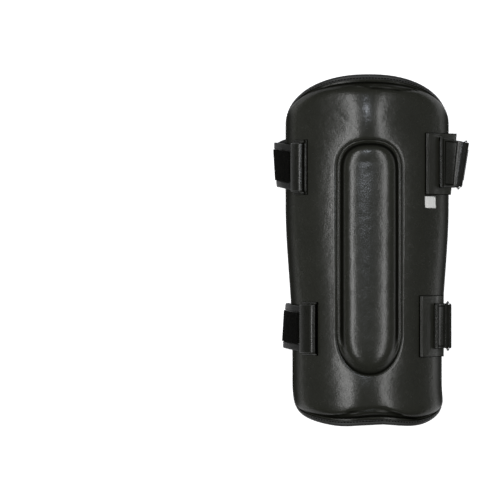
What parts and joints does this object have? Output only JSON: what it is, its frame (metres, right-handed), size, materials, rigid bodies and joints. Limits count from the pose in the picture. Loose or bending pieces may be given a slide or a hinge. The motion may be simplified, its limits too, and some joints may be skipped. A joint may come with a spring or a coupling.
{
  "type": "leather shin guard",
  "caption": "Padded black leather shin guard with a moulded centre ridge, bound edges and hook-and-loop back straps through metal rings.",
  "frame": {"origin": "under the middle of the whole part, on the surface that it lies on", "axes": "+Y along the guard towards its knee end, +Z out of its front face, +X across it towards the rings"},
  "size_m": [0.1972, 0.3484, 0.0662],
  "materials": {
    "black_leather": "semi-matt grained artificial leather",
    "strap_leather": "glossier, softly wrinkled artificial leather",
    "lining_fabric": "brushed knit",
    "binding_tape": "satin coated binding, machine stitched",
    "loop_pile": "fuzzy loop pile",
    "hook_tape": "moulded hooks",
    "woven_black": "plain woven patch",
    "woven_white": "plain woven label",
    "ring_steel": "bright nickel-plated wire"
  },
  "bodies": {
    "root": {"front_pad": "black_leather", "back_lining": "lining_fabric", "edge_binding": "binding_tape", "upper_strap": "strap_leather", "upper_strap_binding": "binding_tape", "upper_loop_tape": "loop_pile", "upper_hook_tape": "hook_tape", "upper_woven_patch": "woven_black", "upper_end_cover": "strap_leather", "upper_anchor_tab": "strap_leather", "upper_ring_loop": "strap_leather", "upper_ring": "ring_steel", "lower_strap": "strap_leather", "lower_strap_binding": "binding_tape", "lower_loop_tape": "loop_pile", "lower_hook_tape": "hook_tape", "lower_end_cover": "strap_leather", "lower_anchor_tab": "strap_leather", "lower_ring_loop": "strap_leather", "lower_ring": "ring_steel", "size_label": "woven_white"}
  },
  "joints": []
}
